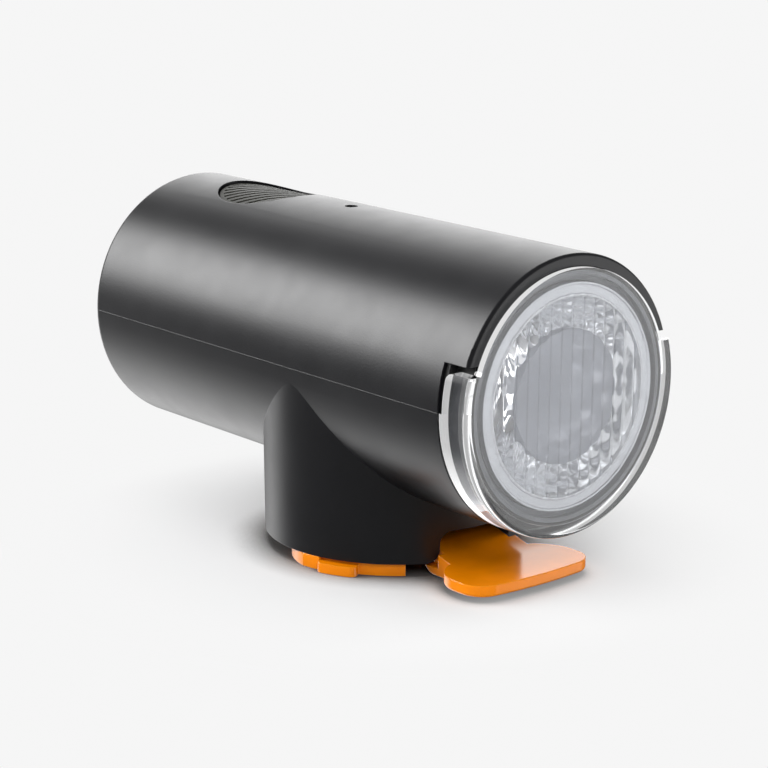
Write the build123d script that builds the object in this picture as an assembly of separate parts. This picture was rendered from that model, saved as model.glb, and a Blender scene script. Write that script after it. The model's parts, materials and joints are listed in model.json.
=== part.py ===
from build123d import *
import os
from math import cos, pi, radians, sin, sqrt, tan

os.makedirs("parts", exist_ok=True)

# A small rechargeable bicycle headlight, in millimetres.
# The resting face is z = 0, the pedestal stands on the Z axis and the beam points along -Y.

# Barrel
barrel_radius = 17.0
barrel_length = 74.7
wall = 1.8
end_wall = 3.2
rear_round = 0.9
lens_overhang = 31.9
seam_lip_width = 0.8
seam_lip_height = 0.8

# General fits
slip = 0.1
free_gap = 0.3
pin_clearance = 0.05
screw_clearance = 0.05

# Hood and clear lens
hood_setback = 0.8
hood_wall = 1.5
hood_end_angle = 20.0
hood_end_gap = 0.15
skirt_depth = 3.9
skirt_step = 0.45
skirt_top_drop = 0.9
skirt_corner = 0.8
seal_gap = 0.8
lens_thickness = 1.2
lens_edge_round = 0.7
flute_pitch = 1.75
flute_depth = 0.2
seal_thickness = 0.37
seal_lip_inset = 0.4

# Optics behind the lens
bezel_wall = 1.25
bezel_step_width = 0.75
bezel_step_depth = 0.9
reflector_mouth_radius = 12.05
reflector_rim_thickness = 1.2
reflector_wall = 1.0
reflector_sides = 28
reflector_lip = 0.7
reflector_bands = 4
reflector_bowl_depth = 7.1
reflector_vertex_depth = 9.4
collimator_radius = 8.1
collimator_rim = 0.9
collimator_step = 0.5
collimator_foot_radius = 3.6
led_board_radius = 8.5
led_board_thickness = 1.6
led_board_key = 7.5
led_board_depth = 11.0
led_base_size = 3.4
led_base_height = 0.7
led_dome_radius = 1.3

# Heat sink
sink_flange_thickness = 2.2
fin_pitch = 3.0
fin_count = 7
fin_thickness = 1.2
fin_length = 2.8
fin_reach = 10.0
sink_stop_width = 1.0
sink_stop_height = 1.3
optic_pillar_radius = 1.9
optic_pillar_gap = 0.65

# Battery
cell_side_room = 6.1
cell_front_room = 2.8
cell_edge_round = 0.4
cell_nub_radius = 2.8
cell_nub_length = 0.5
cell_rear_room = 2.1
cell_clearance = 0.05
tab_width = 5.0
tab_thickness = 0.2
tab_reach = 8.0
cradle_floor = 0.7
cradle_top_drop = 7.0
cradle_window_count = 5
cradle_window_length = 5.5
pad_half_width = 4.5
pad_front_inset = 9.6
pad_rear_inset = 7.4

# Main board and what stands on it
board_lift = 2.7
board_thickness = 1.2
board_corner = 1.0
board_side_gap = 0.6
board_front = 20.5
board_rear_room = 0.4
board_post_radius = 1.9
board_post_x = 7.3
board_post_rows = (26.0, 44.0)
inductor_size = 6.0
inductor_height = 3.0
inductor_corner = 1.0
inductor_dish_radius = 2.0
inductor_dish_depth = 0.5
inductor_place = 32.0
chip_size = 4.0
chip_height = 0.9
chip_place = 37.0

# Leads
lead_radius = 0.4
lead_bend_share = 0.45
led_lead_end = 22.5
cell_lead_x = 6.5
cell_lead_drop = 1.4
cell_lead_front_end = 24.0
cell_lead_rear_end = 66.0

# Button
button_place = 58.1
button_half_width = 6.15
button_half_length = 7.15
button_recess = 0.35
button_gap = 0.25
button_travel = 0.4
button_flange = 0.95
button_flange_edge = 0.7
button_skin = 1.4
button_stem_radius = 1.5
rib_pitch = 1.2
rib_groove = 0.5
rib_depth = 0.45
rib_angle = -35.0
rib_border = 0.5
seal_ring_width = 0.7
seal_ring_height = 0.6
frame_thickness = 0.8
frame_side_gap = 0.4
frame_margin = 0.65
frame_corner = 1.5
frame_post_inset_x = 1.3
frame_post_inset_y = 2.7
frame_pin_radius = 0.6
switch_size = 6.0
switch_height = 3.2
switch_stem_radius = 1.7
switch_stem_height = 1.0
switch_stem_depth = 1.2

# Indicator
indicator_place = 40.8
indicator_hole_radius = 0.85
indicator_recess = 1.1
light_pipe_flange_radius = 1.6
light_pipe_flange_level = 14.2
light_pipe_flange_height = 0.8
indicator_led_length = 1.6
indicator_led_width = 0.8
indicator_led_height = 0.6

# Charging port and its cover
port_width = 8.94
port_height = 3.16
port_length = 7.3
port_shell = 0.3
port_back_wall = 1.0
port_insert_depth = 1.5
port_tongue_width = 6.7
port_tongue_height = 0.7
port_tongue_setback = 1.3
cover_recess_depth = 1.8
cover_recess_margin = 1.85
cover_recess_drop = 5.8
cover_recess_rise = 3.7
cover_thickness = 1.2
cover_setback = 0.1
cover_corner = 1.2
cover_pin_radius = 0.4
cover_pin_length = 1.0
cover_plug_width = 7.4
cover_plug_height = 1.8
cover_plug_reach = 0.9
cover_scoop_radius = 2.0

# Pedestal under the barrel
pedestal_inset = 0.5
pedestal_top_inset = 0.1
pedestal_drop = 6.25
notch_side_gap = 0.4
notch_head_room = 1.13
notch_corner = 1.5
notch_flare = 1.6
case_boss_side_gap = 0.8
case_screw_y = 4.0
case_screw_seat = 8.5
case_boss_radius = 2.3
case_boss_height = 6.0

# Small self-tapping screws
screw_radius = 0.8
screw_head_radius = 1.5
screw_head_height = 1.1
screw_slot_width = 0.4
screw_slot_depth = 0.4
board_screw_length = 5.0
optic_screw_length = 7.0
case_screw_length = 13.0
base_screw_length = 7.0

# Foot plate that locks into the handlebar bracket
plate_inset = 0.55
plate_thickness = 1.65
plate_core_inset = 1.3
plate_web = 0.65
plate_recess_depth = 3.0
plate_recess_end = 125.0
lug_reach = 1.5
lug_drop = 0.4
lug_corner = 0.8
lug_start = 56.0
lug_end = 74.0
shoulder_reach = 0.65
shoulder_end = 104.0
shoulder_round = 10.9
shoulder_round_x = 5.7
shoulder_round_y = -3.7
plate_cutout_side_gap = 2.7
plate_cutout_depth = 9.4
base_screw_inset = 1.95
base_screw_angles = (53.5, 145.0, 215.0, 306.5)
base_boss_radius = 2.3
ear_thickness = 1.6
ear_radius = 2.0

# Release lever
lever_pivot_y = -4.5
lever_pivot_z = 3.7
lever_pin_radius = 1.0
lever_hub_radius = 1.6
lever_thickness = 1.7
lever_tongue_top = 3.7
lever_tongue_half_width = 4.6
lever_throat_half_width = 5.35
lever_neck_half_width = 6.45
lever_slope_inset = 1.5
lever_slope_overhang = 2.0
lever_lower_bend = 12.0
lever_upper_bend = 4.0
lever_swing = 4.0
neck_clearance = 0.35
tab_bottom = 0.65
tab_height = 1.5
tab_half_width = 9.8
tab_length = 9.3
tab_clearance = 1.6
tab_bow_radius = 61.0
tab_rear_corner = 4.4
tab_front_corner = 3.2
tab_edge_round = 0.4
catch_bottom = 0.2
catch_top = 1.1
catch_rear = -13.6
catch_front = -18.2
catch_slant = 0.8
catch_round = 2.0
stop_length = 1.0
stop_gap = 0.05
stop_inset = 1.0
spring_arm = 5.0
spring_seat_drop = 0.5
spring_coil_radius = 1.6
spring_wire_radius = 0.2
spring_turns = 4
spring_seat_radius = 2.6
spring_pip_radius = 1.0
spring_pip_height = 0.8
spring_pip_root = 0.5

# Values worked out from the ones above
axis_height = plate_thickness + pedestal_drop + barrel_radius
bore_radius = barrel_radius - wall
pedestal_radius = barrel_radius - pedestal_inset
pedestal_top_radius = barrel_radius - pedestal_top_inset
hood_bore = barrel_radius - hood_wall
hood_end = barrel_radius * sin(radians(hood_end_angle))
hood_edge = hood_end - hood_end_gap
skirt_top = hood_edge - skirt_top_drop
shell_front = skirt_depth + seal_gap
lens_radius = hood_bore - slip
bore_end = barrel_length - end_wall
bezel_radius = bore_radius - 2 * slip
bezel_front = lens_thickness + pin_clearance
bezel_inner = bezel_radius - bezel_wall
bezel_step_radius = bezel_inner + bezel_step_width
reflector_rim = bezel_inner - slip
sink_front = led_board_depth + led_board_thickness
sink_rear = sink_front + sink_flange_thickness
sink_stop = sink_rear + slip
optic_screw_offset = bezel_inner - optic_pillar_gap - optic_pillar_radius
led_lead_x = 1.5 * fin_pitch
cell_radius = bore_radius - cell_side_room
cell_drop = bore_radius - cell_radius - cradle_floor
cell_rear = bore_end - cell_rear_room
cell_front = sink_rear + fin_length + cell_front_room
cell_length = cell_rear - cell_front
nub_front = cell_front - cell_nub_length
case_screw_x = cell_radius + case_boss_side_gap + case_boss_radius
cradle_half_width = case_screw_x - case_boss_radius - case_boss_side_gap / 2
board_level = cell_radius - cell_drop + board_lift
board_top = board_level + board_thickness
board_half_width = case_screw_x - case_boss_radius - board_side_gap
board_rear = bore_end - board_rear_room
button_crown = barrel_radius - button_recess
flange_crown = bore_radius - free_gap
button_flange_level = sqrt(flange_crown ** 2 - (button_half_width + button_flange) ** 2) - button_flange_edge
switch_top = board_top + switch_height
stem_top = switch_top + switch_stem_height
frame_top = button_flange_level - seal_ring_height
frame_bottom = frame_top - frame_thickness
frame_half_width = sqrt(bore_radius ** 2 - frame_top ** 2) - frame_side_gap
frame_half_length = button_half_length + button_flange + frame_margin
frame_post_x = frame_half_width - frame_post_inset_x
frame_post_y = frame_half_length - frame_post_inset_y
port_mouth = barrel_length - cover_recess_depth
port_level = board_top + port_height / 2
cover_recess_half_width = port_width / 2 + cover_recess_margin
cover_recess_bottom = port_level - cover_recess_drop
cover_recess_top = port_level + cover_recess_rise
cover_outer = barrel_length - cover_setback
cover_middle = cover_outer - cover_thickness / 2
cover_end_round = cover_thickness / 2
cover_pivot = cover_recess_bottom + cover_end_round + free_gap
cover_top = cover_recess_top - free_gap
cover_half_width = cover_recess_half_width - free_gap
pedestal_bore = pedestal_radius - wall
case_head_room = screw_head_radius + 2 * slip
barrel_bottom = axis_height - barrel_radius
spring_seat_level = barrel_bottom - spring_seat_drop
spring_y = lever_pivot_y - spring_arm
plate_radius = pedestal_radius - plate_inset
base_screw_circle = pedestal_bore - base_screw_inset
lever_slope_rear = lever_slope_inset - pedestal_bore
lever_slope_front = -pedestal_radius - lever_slope_overhang
tab_rear = -pedestal_radius - tab_clearance
tab_front = tab_rear - tab_length
notch_half_width = lever_throat_half_width + notch_side_gap
notch_lift = (pedestal_bore + lever_pivot_y) * sin(radians(lever_swing))
notch_top = lever_tongue_top + notch_lift + notch_head_room
plate_core_radius = plate_radius - plate_core_inset
plate_cutout_half_width = lever_neck_half_width + plate_cutout_side_gap
neck_reach = sqrt((pedestal_radius + neck_clearance) ** 2 - lever_throat_half_width ** 2)
screw_hole = screw_radius + screw_clearance
base_screw_seat = screw_head_height + slip / 2
reach = 2 * barrel_length


# Shape helpers. Barrel pieces are drawn with y from the lens face and z from the barrel's axis.
def rod_y(radius, y0, y1, x=0, z=0):
    return Pos(x, (y0 + y1) / 2, z) * Rot(90, 0, 0) * Cylinder(radius, y1 - y0)


def rod_z(radius, z0, z1, x=0, y=0):
    return Pos(x, y, (z0 + z1) / 2) * Cylinder(radius, z1 - z0)


def rod_x(radius, x0, x1, y=0, z=0):
    return Pos((x0 + x1) / 2, y, z) * Rot(0, 90, 0) * Cylinder(radius, x1 - x0)


def block(x0, x1, y0, y1, z0, z1):
    return Pos((x0 + x1) / 2, (y0 + y1) / 2, (z0 + z1) / 2) * Box(x1 - x0, y1 - y0, z1 - z0)


def tube_y(outer, inner, y0, y1):
    return rod_y(outer, y0, y1) - rod_y(inner, y0 - 1, y1 + 1)


def turned(points):
    # A solid of revolution about the barrel's axis, from (y, radius) points
    profile = Plane.YZ * make_face(Polyline(*points, close=True))
    return revolve(profile, Axis.Y, 360)


def oval_y(width, height, y0, y1, z):
    # A stadium section standing across the barrel's axis
    section = RectangleRounded(width, height, height / 2 - pin_clearance)
    return extrude(Plane((0, y1, z), x_dir=(1, 0, 0), z_dir=(0, -1, 0)) * section, y1 - y0)


def plan(sketch, z0, z1):
    return extrude(Pos(0, 0, z0) * sketch, z1 - z0)


def above(z):
    return block(-reach, reach, -reach, reach, z, reach)


def below(z):
    return block(-reach, reach, -reach, reach, -reach, z)


def in_place(shape):
    # From the barrel's own frame to the part's frame
    return Pos(0, -lens_overhang, axis_height) * shape


def save(shape, name):
    export_step(shape, "parts/" + name + ".step")


def mirrored_pair(shape):
    return Compound(children=[shape, mirror(shape, Plane.YZ)])


def screw(length):
    # A pan-head screw with a cross recess, its head at the origin and its shank along +Z
    head = Cylinder(screw_head_radius, screw_head_height, align=(Align.CENTER, Align.CENTER, Align.MAX))
    shank = Cylinder(screw_radius, length, align=(Align.CENTER, Align.CENTER, Align.MIN))
    slot = Box(2 * screw_radius, screw_slot_width, screw_slot_depth)
    recess = Pos(0, 0, screw_slot_depth / 2 - screw_head_height) * (slot + Rot(0, 0, 90) * slot)
    return head + shank - recess


def screws_at(places, level, length):
    return Compound(children=[Pos(x, y, level) * screw(length) for x, y in places])


def case_screw_places():
    side = (-1, 1)
    return [(sx * case_screw_x, lens_overhang + sy * case_screw_y) for sx in side for sy in side]


# Casing
def casing_skin():
    skin = rod_y(barrel_radius, shell_front, barrel_length)
    skin = fillet(skin.edges().sort_by(Axis.Y)[-1], rear_round)
    skin -= rod_y(bore_radius, shell_front - 1, bore_end)
    stop = rod_y(bore_radius + slip, sink_stop, sink_stop + sink_stop_width)
    return skin + (stop - rod_y(bore_radius - sink_stop_height, sink_stop - 1, sink_stop + 2))


def hood():
    ring = rod_y(barrel_radius, hood_setback, shell_front + 1)
    ring = fillet(ring.edges().sort_by(Axis.Y)[0], hood_setback / 2)
    ring -= rod_y(hood_bore, 0, shell_front)
    ring -= rod_y(bore_radius, shell_front - 1, shell_front + 2)
    return ring & above(hood_end)


def seam_lip(grow):
    lip = tube_y(bore_radius + seam_lip_width + grow, bore_radius, shell_front, bore_end)
    return lip & block(-reach, reach, 0, reach, -seam_lip_height - grow, 0)


def button_outline(grow):
    return Pos(0, button_place) * Ellipse(button_half_width + grow, button_half_length + grow)


def board_post_places():
    return [(sx * board_post_x, y) for sx in (-1, 1) for y in board_post_rows]


def frame_post_places():
    offsets = (-frame_post_y, frame_post_y)
    return [(sx * frame_post_x, button_place + dy) for sx in (-1, 1) for dy in offsets]


def inside_posts():
    # Posts hang from the roof of the upper shell, trimmed to the middle of its wall
    posts = [rod_z(board_post_radius, board_top, barrel_radius, x, y) for x, y in board_post_places()]
    for x, y in frame_post_places():
        posts.append(rod_z(2 * frame_pin_radius, frame_top, barrel_radius, x, y))
        posts.append(rod_z(frame_pin_radius, frame_bottom - 2 * slip, frame_top, x, y))
    for x, y in case_screw_places():
        posts.append(rod_z(case_boss_radius, 0, barrel_radius, x, y))
    roof = rod_y(barrel_radius - wall / 2, shell_front, bore_end)
    return [post & roof for post in posts]


def cover_outline(half_width, bottom, top, corner):
    section = Pos(0, (top + bottom) / 2) * Rectangle(2 * half_width, top - bottom)
    return fillet(section.vertices().sort_by(Axis.Y)[-2:], corner)


def rear_plane(y):
    return Plane((0, y, 0), x_dir=(-1, 0, 0), z_dir=(0, 1, 0))


def cover_recess():
    section = cover_outline(cover_recess_half_width, cover_recess_bottom, cover_recess_top, cover_corner)
    scoop = rod_y(cover_scoop_radius, port_mouth, barrel_length + 1, 0, cover_recess_top)
    return extrude(rear_plane(port_mouth) * section, cover_recess_depth + 1) + scoop


def upper_shell():
    shell = (casing_skin() & above(0)) + hood() + seam_lip(0)
    for post in inside_posts():
        shell += post
    shell -= plan(button_outline(button_gap), board_top, barrel_radius + 1)
    shell -= rod_z(indicator_hole_radius, board_top, barrel_radius + 1, 0, indicator_place)
    shell -= cover_recess()
    shell -= oval_y(port_width + 2 * slip, port_height + 2 * slip, bore_end - 1, port_mouth + 1, port_level)
    pin_reach = cover_recess_half_width + cover_pin_length + slip
    shell -= rod_x(cover_pin_radius + pin_clearance, -pin_reach, pin_reach, cover_middle, cover_pivot)
    for x, y in board_post_places():
        shell -= rod_z(screw_hole, board_top - 1, board_level + board_screw_length + slip, x, y)
    for x, y in case_screw_places():
        shell -= rod_z(screw_hole, -1, case_boss_height, x, y)
    return in_place(shell)


def notch():
    # The opening in the pedestal's front wall that the release lever comes out of
    height = notch_top - plate_thickness + 2 * notch_corner
    section = RectangleRounded(2 * notch_half_width, height, notch_corner)
    middle = notch_top - height / 2
    plane = Plane((0, -pedestal_bore / 2, middle), x_dir=(1, 0, 0), z_dir=(0, -1, 0))
    return extrude(plane * section, pedestal_radius)


def pedestal():
    height = axis_height - plate_thickness - 1
    body = Cone(pedestal_radius, pedestal_top_radius, height, align=(Align.CENTER, Align.CENTER, Align.MIN))
    return Pos(0, 0, plate_thickness) * body


def base_screw_places():
    # Angles are measured from the front, -Y, towards -X
    turns = [radians(270 - angle) for angle in base_screw_angles]
    return [(base_screw_circle * cos(turn), base_screw_circle * sin(turn)) for turn in turns]


def base_bosses(radius, z0, z1):
    return [rod_z(radius, z0, z1, x, y) for x, y in base_screw_places()]


def pedestal_hollow():
    hollow = rod_z(pedestal_bore, 0, axis_height) - in_place(rod_y(barrel_radius, -reach, reach))
    for boss in base_bosses(base_boss_radius, 0, axis_height):
        hollow -= boss
    return hollow - rod_z(spring_seat_radius, spring_seat_level, axis_height, 0, spring_y)


def lower_shell():
    skin = in_place((casing_skin() & below(0)) - seam_lip(slip))
    bore = in_place(rod_y(bore_radius, shell_front - 1, bore_end))
    foot = pedestal() - pedestal_hollow() - bore - notch()
    corners = foot.edges().filter_by(Axis.Y).filter_by(lambda e: abs(e.center().Z - plate_thickness) < slip)
    foot = fillet(corners, notch_flare)
    shell = skin + foot
    column = in_place(rod_y(bore_radius + slip, shell_front, bore_end))
    for x, y in case_screw_places():
        boss = rod_z(case_boss_radius, 0, axis_height, x, y - lens_overhang)
        shell += boss & column
        shell -= rod_z(screw_hole, 0, axis_height + 1, x, y - lens_overhang)
        shell -= rod_z(case_head_room, 0, axis_height - case_screw_seat, x, y - lens_overhang)
    for hole in base_bosses(screw_hole, plate_thickness - 1, plate_thickness + base_screw_length):
        shell -= hole
    return shell


# Lens, seal, bezel and optics
def flutes():
    # Upright convex ribs on the inner face of the lens
    count = int(2 * reflector_mouth_radius / flute_pitch) + 1
    left = -count * flute_pitch / 2
    crest = lens_thickness + flute_depth
    edge = []
    for i in range(count):
        x = left + i * flute_pitch
        start, end = (x, lens_thickness), (x + flute_pitch, lens_thickness)
        edge.append(ThreePointArc(start, (x + flute_pitch / 2, crest), end))
    root = lens_thickness / 2
    edge.append(Polyline((-left, lens_thickness), (-left, root), (left, root), (left, lens_thickness)))
    ribs = plan(make_face(edge), -reflector_mouth_radius, reflector_mouth_radius)
    return ribs & rod_y(reflector_mouth_radius - pin_clearance, 0, crest + 1)


def front_lens():
    skirt = rod_y(barrel_radius, 0, skirt_depth)
    skirt = fillet(skirt.edges().sort_by(Axis.Y)[0], lens_edge_round)
    skirt += rod_y(barrel_radius, skirt_depth, skirt_depth + skirt_step) & below(0)
    skirt -= rod_y(hood_bore - pin_clearance, lens_thickness, skirt_depth + skirt_step + 1)
    skirt &= below(skirt_top)
    corners = skirt.edges().filter_by(Axis.X).filter_by(lambda e: e.center().Y > skirt_depth - slip)
    skirt = fillet(corners.group_by(Axis.Z)[-1], skirt_corner)
    lens = skirt + rod_y(lens_radius, 0, lens_thickness) + flutes()
    return in_place(lens)


def lens_seal():
    inner = bezel_radius + pin_clearance / 2
    rear = shell_front - pin_clearance
    ring = tube_y(inner + seal_thickness, inner, bezel_front, rear)
    lip_front = skirt_depth + pin_clearance
    lip = tube_y(barrel_radius - seal_lip_inset, inner, lip_front, rear) & below(hood_edge)
    lip -= rod_y(reach, 0, lip_front + skirt_step) & below(pin_clearance)
    return in_place(ring + lip)


def bezel_ring():
    rear = sink_front - pin_clearance
    sleeve = tube_y(bezel_radius, bezel_inner, bezel_front, rear)
    return in_place(sleeve - tube_y(bezel_step_radius, bezel_inner - 1, 0, bezel_front + bezel_step_depth))


def facet_band(depth0, radius0, depth1, radius1):
    sections = []
    for depth, radius in ((depth0, radius0), (depth1, radius1)):
        plane = Plane((0, depth, 0), x_dir=(1, 0, 0), z_dir=(0, 1, 0))
        sections.append(plane * RegularPolygon(radius, reflector_sides))
    return loft(sections, ruled=True)


def reflector_bowl():
    # Depth and radius of each ring of facets, on a parabola
    rings = []
    for i in range(reflector_bands + 1):
        depth = reflector_bowl_depth * i / reflector_bands
        radius = reflector_mouth_radius * sqrt(1 - depth / reflector_vertex_depth)
        rings.append((lens_thickness + reflector_lip + depth, radius))
    return rings


def reflector():
    # A faceted bowl with a flat rim and two screw pillars
    front = bezel_front
    rings = reflector_bowl()
    rear, hole = rings[-1]
    outline = [(front, 0), (front, reflector_rim), (front + reflector_rim_thickness, reflector_rim)]
    outline += [(depth, radius + 2 * reflector_wall) for depth, radius in rings[1:]]
    outline += [(rear + reflector_wall, hole + reflector_wall), (rear + reflector_wall, 0)]
    bowl = turned(outline)
    for side in (-1, 1):
        bowl += rod_y(optic_pillar_radius, front, sink_front, side * optic_screw_offset)
    bowl -= rod_y(reflector_mouth_radius, 0, rings[0][0])
    for ring, deeper in zip(rings, rings[1:]):
        bowl -= facet_band(*ring, *deeper)
    bowl -= rod_y(hole * cos(pi / reflector_sides), rear, rear + 2 * reflector_wall)
    screw_tip = sink_rear - optic_screw_length - slip
    for side in (-1, 1):
        bowl -= rod_y(screw_hole, screw_tip, sink_front + 1, side * optic_screw_offset)
    return in_place(bowl)


def collimator():
    front = lens_thickness + flute_depth + free_gap
    rim_rear = front + collimator_rim
    pocket = led_board_depth - led_base_height - led_dome_radius - 2 * free_gap
    pocket_radius = led_base_size * sqrt(2) / 2 + slip
    outline = [(front, 0), (front, collimator_radius), (rim_rear, collimator_radius)]
    outline += [(rim_rear, collimator_radius - collimator_step), (led_board_depth, collimator_foot_radius)]
    outline += [(led_board_depth, pocket_radius), (pocket, pocket_radius), (pocket, 0)]
    return in_place(turned(outline))


def led_board():
    board = rod_y(led_board_radius, led_board_depth, sink_front)
    for side in (-1, 1):
        board -= rod_y(screw_radius, led_board_depth - 1, sink_front + 1, 0, side * led_board_key)
    return in_place(board)


def led_emitter():
    half = led_base_size / 2
    front = led_board_depth - led_base_height
    base = block(-half, half, front, led_board_depth, -half, half)
    dome = Pos(0, front, 0) * Sphere(led_dome_radius) & block(-half, half, 0, front, -half, half)
    return in_place(base + dome)


def heat_sink():
    sink = rod_y(bezel_radius, sink_front, sink_rear)
    span = (fin_count - 1) * fin_pitch
    for i in range(fin_count):
        x = i * fin_pitch - span / 2
        half = fin_thickness / 2
        sink += block(x - half, x + half, sink_rear, sink_rear + fin_length, -fin_reach, fin_reach)
    envelope = rod_y(bore_radius - sink_stop_height - slip, sink_rear, barrel_length)
    sink = (sink & rod_y(bezel_radius, 0, sink_rear)) + (sink & envelope)
    for side in (-1, 1):
        sink -= rod_y(screw_hole, 0, sink_rear + 1, side * optic_screw_offset)
        sink -= rod_y(lead_radius + free_gap, 0, sink_rear + 1, side * led_lead_x, led_lead_level())
    return in_place(sink)


def optic_screws():
    one = Pos(optic_screw_offset, sink_rear, 0) * Rot(90, 0, 0) * screw(optic_screw_length)
    return in_place(mirrored_pair(one))


# Battery, board and leads
def led_lead_level():
    return board_level - cell_lead_drop


def battery_cell():
    body = rod_y(cell_radius, cell_front, cell_rear, 0, -cell_drop)
    body = fillet(body.edges().filter_by(GeomType.CIRCLE), cell_edge_round)
    return in_place(body + rod_y(cell_nub_radius, nub_front, cell_front, 0, -cell_drop))


def cell_tab(y0):
    half = tab_width / 2
    return in_place(block(-tab_reach, half, y0, y0 + tab_thickness, -cell_drop - half, -cell_drop + half))


def battery_cradle():
    # A saddle that fills the crescent between the cell and the lower shell
    saddle = rod_y(bore_radius - slip, cell_front, cell_rear)
    saddle &= block(-cradle_half_width, cradle_half_width, 0, barrel_length, -barrel_radius, -cradle_top_drop)
    saddle -= rod_y(cell_radius + cell_clearance, 0, barrel_length, 0, -cell_drop)
    pitch = cell_length / cradle_window_count
    inner = cell_radius + wall / 2
    for i in range(cradle_window_count):
        y = cell_front + (i + 0.5) * pitch
        window = block(inner / 2, barrel_radius, y - cradle_window_length / 2, y + cradle_window_length / 2,
                       -bore_radius, -cradle_top_drop - wall)
        saddle -= window
        saddle -= mirror(window, Plane.YZ)
    return in_place(saddle)


def battery_pad():
    front, rear = cell_front + pad_front_inset, cell_rear - pad_rear_inset
    pad = block(-pad_half_width, pad_half_width, front, rear, 0, board_level - slip)
    pad &= above(cell_radius - cell_drop - 2 * wall)
    return in_place(pad - rod_y(cell_radius + cell_clearance, 0, barrel_length, 0, -cell_drop))


def main_board():
    board = block(-board_half_width, board_half_width, board_front, board_rear, board_level, board_top)
    board = fillet(board.edges().filter_by(Axis.Z), board_corner)
    for x, y in board_post_places():
        board -= rod_z(screw_hole, 0, barrel_radius, x, y)
    return in_place(board)


def on_board(length, width, height, place):
    # A block standing on the main board, centred across it
    x, y = length / 2, width / 2
    return block(-x, x, place - y, place + y, board_top, board_top + height)


def board_screws():
    return in_place(screws_at(board_post_places(), board_level, board_screw_length))


def driver_inductor():
    body = on_board(inductor_size, inductor_size, inductor_height, inductor_place)
    body = fillet(body.edges().filter_by(Axis.Z), inductor_corner)
    dish_floor = board_top + inductor_height - inductor_dish_depth
    return in_place(body - rod_z(inductor_dish_radius, dish_floor, barrel_radius, 0, inductor_place))


def charge_chip():
    return in_place(on_board(chip_size, chip_size, chip_height, chip_place))


def lead(points):
    # An insulated wire: straight runs joined by arcs, each as large as its two runs allow
    runs = [Vector(*b) - Vector(*a) for a, b in zip(points, points[1:])]
    radii = []
    for before, after in zip(runs, runs[1:]):
        turn = radians(before.get_angle(after))
        radii.append(lead_bend_share * min(before.length, after.length) / tan(turn / 2))
    route = FilletPolyline(*points, radius=radii)
    section = Plane(route @ 0, z_dir=route % 0) * Circle(lead_radius)
    wire = sweep(section, path=route)
    print("lead: radii", [round(r, 2) for r in radii], "volume ratio",
          round(wire.volume / (route.length * pi * lead_radius ** 2), 4))
    return in_place(wire)


def led_lead(side):
    x = side * led_lead_x
    level = led_lead_level()
    return lead([(x, sink_front, level), (x, led_lead_end, level), (x, led_lead_end, board_level)])


def cell_lead(start, outward, end):
    # From the outer face of a cell tab, up past the cell and onto the board
    x = -cell_lead_x
    turn = start + outward * cell_lead_drop
    level = led_lead_level()
    low = tab_width / 4 - cell_drop
    return lead([(x, start, low), (x, turn, low), (x, turn, level), (x, end, level), (x, end, board_level)])


# Button group
def button_cap():
    crown = rod_y(button_crown, 0, barrel_length)
    cap = plan(button_outline(0), button_flange_level, barrel_radius) & crown
    flange = plan(button_outline(button_flange), button_flange_level, barrel_radius)
    cap += flange & rod_y(flange_crown, 0, barrel_length)
    hollow = plan(button_outline(-button_skin), 0, barrel_radius)
    cap -= hollow & rod_y(button_crown - button_skin - rib_depth, 0, barrel_length)
    post = rod_z(button_stem_radius, stem_top, barrel_radius - wall, 0, button_place)
    cap += post
    slots = []
    count = int(button_half_length / rib_pitch) + 1
    for i in range(-count, count + 1):
        slot = Pos(0, i * rib_pitch) * Rectangle(4 * button_half_length, rib_groove)
        slots.append(Pos(0, button_place) * Rot(0, 0, rib_angle) * slot)
    grooves = plan(Sketch() + slots, button_flange_level, barrel_radius + 1)
    grooves &= plan(button_outline(-rib_border), button_flange_level, barrel_radius + 1)
    cap -= grooves - rod_y(button_crown - rib_depth, 0, barrel_length)
    return in_place(cap)


def button_seal():
    ring = button_outline(button_flange) - button_outline(button_flange - seal_ring_width)
    return in_place(plan(ring, frame_top, button_flange_level))


def button_frame():
    window = button_outline(button_flange - seal_ring_width)
    outer = RectangleRounded(2 * frame_half_width, 2 * frame_half_length, frame_corner)
    frame = plan(Pos(0, button_place) * outer - window, frame_bottom, frame_top)
    for x, y in frame_post_places():
        frame -= rod_z(frame_pin_radius + pin_clearance, 0, barrel_radius, x, y)
    return in_place(frame)


def switch_body():
    body = on_board(switch_size, switch_size, switch_height, button_place)
    well = switch_stem_radius + pin_clearance
    floor = switch_top - switch_stem_depth - button_travel - slip
    return in_place(body - rod_z(well, floor, switch_top + 1, 0, button_place))


def switch_stem():
    return in_place(rod_z(switch_stem_radius, switch_top - switch_stem_depth, stem_top, 0, button_place))


def indicator_led():
    body = on_board(indicator_led_length, indicator_led_width, indicator_led_height, indicator_place)
    return in_place(body)


def light_pipe():
    low = board_top + indicator_led_height
    high = barrel_radius - indicator_recess
    pipe = rod_z(indicator_hole_radius - pin_clearance, low, high, 0, indicator_place)
    flange_top = light_pipe_flange_level + light_pipe_flange_height
    flange = rod_z(light_pipe_flange_radius, light_pipe_flange_level, flange_top, 0, indicator_place)
    return in_place(pipe + flange)


# Charging port
def port_shell_tube():
    rear = port_mouth - port_length
    shell = oval_y(port_width, port_height, rear, port_mouth, port_level)
    width, height = port_width - 2 * port_shell, port_height - 2 * port_shell
    return in_place(shell - oval_y(width, height, rear + port_back_wall, port_mouth + 1, port_level))


def port_insert():
    rear = port_mouth - port_length + port_back_wall
    gap = port_shell + pin_clearance
    base = oval_y(port_width - 2 * gap, port_height - 2 * gap, rear, rear + port_insert_depth, port_level)
    half, half_height = port_tongue_width / 2, port_tongue_height / 2
    tongue = block(-half, half, rear, port_mouth - port_tongue_setback,
                   port_level - half_height, port_level + half_height)
    return in_place(base + tongue)


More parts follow.
